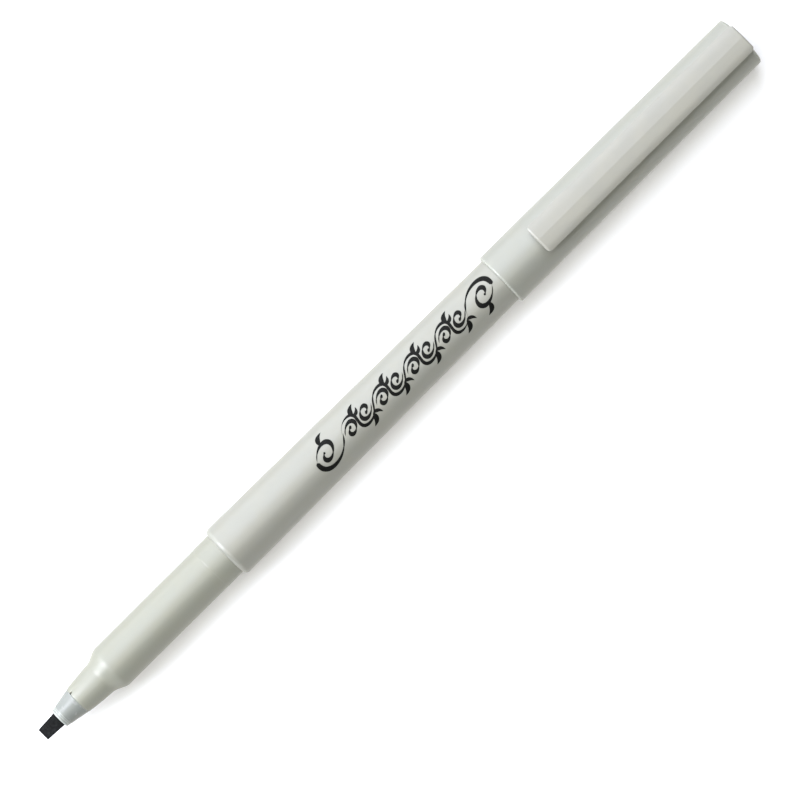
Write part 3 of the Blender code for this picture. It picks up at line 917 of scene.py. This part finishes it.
class MARKER_OT_cap(bpy.types.Operator):
    """Make the cap and the sealing cup inside it"""

    bl_idname = "marker.cap"
    bl_label = "Cap"

    def execute(self, context):
        """The cap is a tapered tube with a round mouth and a closed end, the cup a thinner one."""
        sizes = context.scene.marker_sizes
        colours = context.scene.marker_colours
        lip = sizes.cap_lip
        edge = sizes.cap_edge
        taper_front = CAP_MOUTH + lip + 0.1 * MM
        taper_rear = CAP_END - edge - 0.1 * MM
        mouth_bore = barrel_radius(CAP_MOUTH) + 0.06 * MM
        mouth_edge = 0.12 * MM
        front_bore = 4.36 * MM
        rear_bore = 4.25 * MM
        floor = LINER_REAR + 0.3 * MM
        floor_radius = 3.6 * MM
        shell = turned(
            "cap_tube",
            moulded_pearl("cap_polystyrene", colours.cap),
            run(floor, floor, 0.4 * MM, floor_radius),
            run(floor - 0.2 * MM, CAP_MOUTH + 1.0 * MM, rear_bore, front_bore, 20),
            arc(CAP_MOUTH + mouth_edge, mouth_bore + mouth_edge, mouth_edge, 270, 180, 6),
            arc(CAP_MOUTH + lip, cap_radius(CAP_MOUTH + lip) - lip, lip, 180, 90),
            run(taper_front, taper_rear, cap_radius(taper_front), cap_radius(taper_rear), 80),
            arc(CAP_END - edge, cap_radius(CAP_END - edge) - edge, edge, 90, 0),
            run(CAP_END, CAP_END, cap_radius(CAP_END) - edge - 0.3 * MM, 0.3 * MM, 12),
            ring=False,
        )
        fit(shell, "cap", "cap_plastic", "cap_shell")
        cup_bore = LINER_RADIUS - 0.55 * MM
        cup_floor = LINER_REAR - 0.8 * MM
        cup_edge = 0.12 * MM
        cup = turned(
            "sealing_cup",
            soft_polyethylene("soft_polyethylene", colours.liner),
            run(cup_floor, cup_floor, 0.3 * MM, cup_bore),
            run(cup_floor, LINER_MOUTH + 0.6 * MM, cup_bore, cup_bore, 10),
            arc(LINER_MOUTH + cup_edge, LINER_RADIUS - cup_edge, cup_edge, 180, 90, 6),
            run(LINER_MOUTH + 0.3 * MM, LINER_REAR - 0.4 * MM, LINER_RADIUS, LINER_RADIUS, 10),
            run(LINER_REAR, LINER_REAR, LINER_RADIUS - 0.3 * MM, 0.3 * MM, 6),
            ring=False,
        )
        fit(cup, "cap", "seal_plastic", "cap_liner")
        return {"FINISHED"}


class MARKER_OT_clip(bpy.types.Operator):
    """Make the pocket clip"""

    bl_idname = "marker.clip"
    bl_label = "Clip"

    def execute(self, context):
        """Cross-sections along the blade. The top falls away from a faint crease, at 4.5 degrees by
        the middle and faster by the fourth power of the distance towards the edges, which are
        round. The underside is flat, with a bead near the free end. At the root it comes down to
        the cap, and behind the hinge it slopes away from it to leave room for the flex. Seen from
        above, the front corners are round and the rear ones are cut off."""
        sizes = context.scene.marker_sizes
        corner = sizes.clip_corner
        front_edge = 0.45 * MM
        rear_edge = 0.3 * MM
        side_edge = 0.12 * MM
        rear_cut = 0.45 * MM
        crease_slope = np.tan(np.radians(4.5))
        edge_fall = 0.11 * CLIP_HALF_WIDTH
        bead_place = 2.7 * MM
        bead_height = 0.4 * MM
        bead_half_length = 1.1 * MM
        bead_half_width = 0.9 * MM
        root_front = CAP_END - 5.2 * MM
        root_full = CAP_END - 3.9 * MM
        gap = 0.04 * MM
        quarter = np.pi / 2
        x = np.concatenate(
            (
                CLIP_FRONT + 1.0 * MM * (1 - np.cos(np.linspace(0.0, quarter, 26))),
                np.linspace(CLIP_FRONT + 1.1 * MM, CAP_END - 0.6 * MM, 120),
                CAP_END - 0.5 * MM * (1 - np.sin(np.linspace(0.0, quarter, 14))),
            )
        )
        inward = np.clip(corner - (x - CLIP_FRONT), 0.0, corner)
        half = CLIP_HALF_WIDTH - corner + np.sqrt(corner**2 - inward**2)
        half -= np.clip(rear_cut - (CAP_END - x), 0.0, None)
        half = half[:, None]
        into_front = np.clip(1 - (x - CLIP_FRONT) / front_edge, 0.0, 1.0)
        into_rear = np.clip(1 - (CAP_END - x) / rear_edge, 0.0, 1.0)
        drop = front_edge * (1 - np.sqrt(1 - into_front**2))
        drop += rear_edge * (1 - np.sqrt(1 - into_rear**2))
        drop = drop[:, None]
        across = np.linspace(-1.0, 1.0, 41) * (half - side_edge)
        fall = crease_slope * np.abs(across) + edge_fall * (across / CLIP_HALF_WIDTH) ** 4
        top = CLIP_CREST - fall - drop
        bend = np.radians(np.linspace(60.0, 0.0, 7))
        shoulder = top[:, -1:] - side_edge * np.sin(bend[0])
        turned_out = (np.cos(bend) - np.cos(bend[0])) / (1 - np.cos(bend[0]))
        side_y = half - side_edge + side_edge * turned_out
        side_z = shoulder + side_edge * np.sin(bend)
        underside = CLIP_CREST - sizes.clip_thickness + drop * 0.5
        below = np.linspace(1.0, -1.0, 41) * (half - 0.08 * MM)
        from_bead = (x - CLIP_FRONT - bead_place) / bead_half_length
        bead = bead_height * np.sqrt(np.clip(1 - from_bead**2, 0.0, None))[:, None]
        bottom = underside - bead * np.exp(-((below / bead_half_width) ** 4))
        root = smooth(root_front, root_full, x)[:, None]
        narrow = 1 - smooth(1.9 * MM, 2.3 * MM, np.abs(below))
        behind_hinge = np.clip(x - (CAP_END - CLIP_HINGE), 0.0, None)[:, None]
        seat = np.sqrt((cap_radius(x)[:, None] + gap) ** 2 - below**2)
        seat += np.tan(CLIP_FLEX) * behind_hinge
        bottom = bottom + (seat - bottom) * root * narrow
        crown = np.stack((across, top), axis=-1)[:, 1:-1]
        right = np.stack((side_y, side_z), axis=-1)
        left = np.stack((-side_y, side_z), axis=-1)[:, ::-1]
        ring = np.concatenate((crown, right, np.stack((below, bottom), axis=-1), left), axis=1)
        x_grid = np.broadcast_to(x[:, None, None], (*ring.shape[:2], 1))
        grid = np.concatenate((x_grid, ring[:, :, :1], ring[:, :, 1:] + AXIS_Z), axis=-1)
        finish = moulded_pearl("clip_polystyrene", context.scene.marker_colours.clip, 0.34, 0.04)
        # painted highlight on the blade's front and rear ends, where the edge attribute is set
        clip = skin("clip_blade", grid, finish, False, np.maximum(into_front, into_rear))
        fit(clip, "clip", "clip_plastic", "cap_clip")
        return {"FINISHED"}


class MARKER_OT_reservoir(bpy.types.Operator):
    """Finish the ink reservoir and its film"""

    bl_idname = "marker.reservoir"
    bl_label = "Ink reservoir"

    def execute(self, context):
        """Both stay as the frame gives them, with a fibre and a film finish."""
        ink = context.scene.marker_colours.ink
        finishes = {
            "ink_reservoir": inked_fibre("bonded_polyester_fibre", ink),
            "reservoir_film": soft_polyethylene("polypropylene_film", linear("d9dddf"), 0.25),
        }
        for name, finish in finishes.items():
            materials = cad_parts[name].data.materials
            materials.clear()
            materials.append(finish)
        return {"FINISHED"}


class MARKER_OT_stage(bpy.types.Operator):
    """Set the floor, the lights and the camera"""

    bl_idname = "marker.stage"
    bl_label = "Stage"

    def execute(self, context):
        """A white paper floor, two soft panels that fill one side from the floor up, a weaker warm
        one overhead, a faint one on the far side, a bright one beyond the nib, and a camera that
        looks down with the pen along the diagonal."""
        scene = context.scene
        scene.view_settings.view_transform = "Standard"
        self.add_floor(scene)
        self.add_world(scene)
        for name, (low, high, radiance, tint) in LONG_PANELS.items():
            self.add_long_panel(scene, name, low, high, radiance, tint)
        self.add_nib_panel(scene)
        self.add_camera(scene)
        return {"FINISHED"}

    def add_floor(self, scene):
        """A large sheet of paper just under the pen, with a little light of its own, as paper with
        a brightener has."""
        finish, tree = blank_material("white_paper")
        grain = add(
            tree, "ShaderNodeTexNoise", {"Vector": millimetres(tree), "Scale": 0.5, "Detail": 3.0}
        )
        brightener = 0.12
        tint = scene.marker_colours.floor
        mixed = add(
            tree,
            "ShaderNodeMix",
            {"Factor": grain.outputs["Fac"], MIX_A: toned(tint, 0.99), MIX_B: toned(tint)},
            data_type="RGBA",
        )
        shader = add(
            tree,
            "ShaderNodeBsdfPrincipled",
            {
                "Base Color": mixed.outputs[MIX_RESULT],
                "Roughness": 0.9,
                "Specular IOR Level": 0.2,
                "Emission Color": (1.0, 1.0, 1.0, 1.0),
                "Emission Strength": brightener,
            },
        )
        add(tree, "ShaderNodeOutputMaterial", {"Surface": shader.outputs["BSDF"]})
        mesh = bpy.data.meshes.new("paper_floor")
        corners = [(-4.0, -4.0, 0.0), (4.0, -4.0, 0.0), (4.0, 4.0, 0.0), (-4.0, 4.0, 0.0)]
        mesh.from_pydata(corners, [], [(0, 1, 2, 3)])
        mesh.materials.append(finish)
        floor = bpy.data.objects.new("paper_floor", mesh)
        floor.location.z = -0.02 * MM
        floor.visible_glossy = False
        scene.collection.objects.link(floor)

    def add_world(self, scene):
        """A dark room that turns pale near the horizon and below it. The paper isn't mirrored in
        the pen, so the pen's satin skin mirrors the pale half instead."""
        world = bpy.data.worlds.new("room")
        world.use_nodes = True
        tree = world.node_tree
        direction = add(tree, "ShaderNodeTexCoord").outputs["Generated"]
        upward = add(tree, "ShaderNodeSeparateXYZ", {"Vector": direction})
        height = add(
            tree,
            "ShaderNodeMapRange",
            {"Value": upward.outputs["Z"], "From Min": 0.0, "From Max": HORIZON},
            interpolation_type="SMOOTHSTEP",
        )
        mixed = add(
            tree,
            "ShaderNodeMix",
            {"Factor": height.outputs["Result"], MIX_A: toned(PALE_ROOM), MIX_B: toned(DARK_ROOM)},
            data_type="RGBA",
        )
        tree.links.new(mixed.outputs[MIX_RESULT], tree.nodes["Background"].inputs["Color"])
        scene.world = world

    def add_long_panel(self, scene, name, low, high, radiance, tint):
        """A long panel beside the pen that fills the view from low to high degrees above the
        floor, measured from +Y over the top."""
        middle = np.radians((low + high) / 2)
        outward = Vector((0.0, np.cos(middle), np.sin(middle)))
        along = Vector((1.0, 0.0, 0.0))
        place = outward * PANEL_DISTANCE + along * PANEL_SHIFT
        width = 2 * PANEL_DISTANCE * np.tan(np.radians((high - low) / 2))
        self.hang(scene, name, (PANEL_LENGTH, width), place, along, outward, radiance, tint)

    def add_nib_panel(self, scene):
        """A brighter panel that slopes down beyond the nib: it gives the highlights on the nose,
        on the shoulder and on the edges that face the nib."""
        outward = Vector((-0.73, 0.45, 0.51)).normalized()
        downhill = Vector((-0.83, -0.08, -0.55))
        along = (downhill - outward * downhill.dot(outward)).normalized()
        place = outward * PANEL_DISTANCE
        sides = (0.66, 0.42)
        radiance = 6.8
        self.hang(scene, "nib_side_panel", sides, place, along, outward, radiance, COOL)

    def hang(self, scene, name, sides, place, along, outward, radiance, tint):
        """Hang a soft panel with its long side along one direction and its back outward. An even
        panel of one unit of radiance gives pi times its area in power."""
        light = bpy.data.lights.new(name, "AREA")
        light.shape = "RECTANGLE"
        light.size, light.size_y = sides
        light.energy = np.pi * light.size * light.size_y * radiance
        light.color = tint
        lamp = bpy.data.objects.new(name, light)
        turn = Matrix((along, outward.cross(along), outward)).transposed().to_4x4()
        lamp.matrix_world = Matrix.Translation(place) @ turn
        scene.collection.objects.link(lamp)

    def add_camera(self, scene):
        """A long lens over the pen, leaning a little to the near side and rolled so that the pen
        runs from the lower left to the upper right."""
        camera = bpy.data.cameras.new("camera")
        camera.lens = 202.0
        camera.sensor_width = 36.0
        distance = 718 * MM
        lean = np.radians(2.2)
        roll = np.radians(44.85)
        back = Vector((0.0, -np.sin(lean), np.cos(lean)))
        across = Vector((0.0, np.cos(lean), np.sin(lean)))
        along = Vector((1.0, 0.0, 0.0))
        right = along * np.cos(roll) - across * np.sin(roll)
        up = along * np.sin(roll) + across * np.cos(roll)
        aim = Vector((-0.52 * MM, -2.28 * MM, AXIS_Z))
        turn = Matrix((right, up, back)).transposed().to_4x4()
        seat = bpy.data.objects.new("camera", camera)
        seat.matrix_world = Matrix.Translation(aim + back * distance) @ turn
        scene.collection.objects.link(seat)
        scene.camera = seat


class MARKER_PT_panel(bpy.types.Panel):
    """Lists the marker's sizes, colours and pieces"""

    bl_idname = "MARKER_PT_panel"
    bl_label = "Calligraphy Marker"
    bl_space_type = "VIEW_3D"
    bl_region_type = "UI"
    bl_category = "Marker"

    def draw(self, context):
        """Draw one row for each property and each piece."""
        for group in (context.scene.marker_sizes, context.scene.marker_colours):
            for name in group.__annotations__:
                self.layout.prop(group, name)
        for piece in PIECES:
            self.layout.operator(piece.bl_idname)


PIECES = (
    MARKER_OT_stage,
    MARKER_OT_nib,
    MARKER_OT_holder,
    MARKER_OT_section,
    MARKER_OT_barrel,
    MARKER_OT_ornament,
    MARKER_OT_reservoir,
    MARKER_OT_cap,
    MARKER_OT_clip,
)
CLASSES = (MarkerSizes, MarkerColours, *PIECES, MARKER_PT_panel)


def register():
    """Register the classes and hang the properties on the scene."""
    for kind in CLASSES:
        bpy.utils.register_class(kind)
    bpy.types.Scene.marker_sizes = bpy.props.PointerProperty(type=MarkerSizes)
    bpy.types.Scene.marker_colours = bpy.props.PointerProperty(type=MarkerColours)


def unregister():
    """Take the properties and the classes away again."""
    del bpy.types.Scene.marker_colours
    del bpy.types.Scene.marker_sizes
    for kind in reversed(CLASSES):
        bpy.utils.unregister_class(kind)


def main():
    """Make every piece."""
    register()
    bpy.ops.marker.stage()
    bpy.ops.marker.nib()
    bpy.ops.marker.holder()
    bpy.ops.marker.section()
    bpy.ops.marker.barrel()
    bpy.ops.marker.ornament()
    bpy.ops.marker.reservoir()
    bpy.ops.marker.cap()
    bpy.ops.marker.clip()


if __name__ == "__main__":
    main()
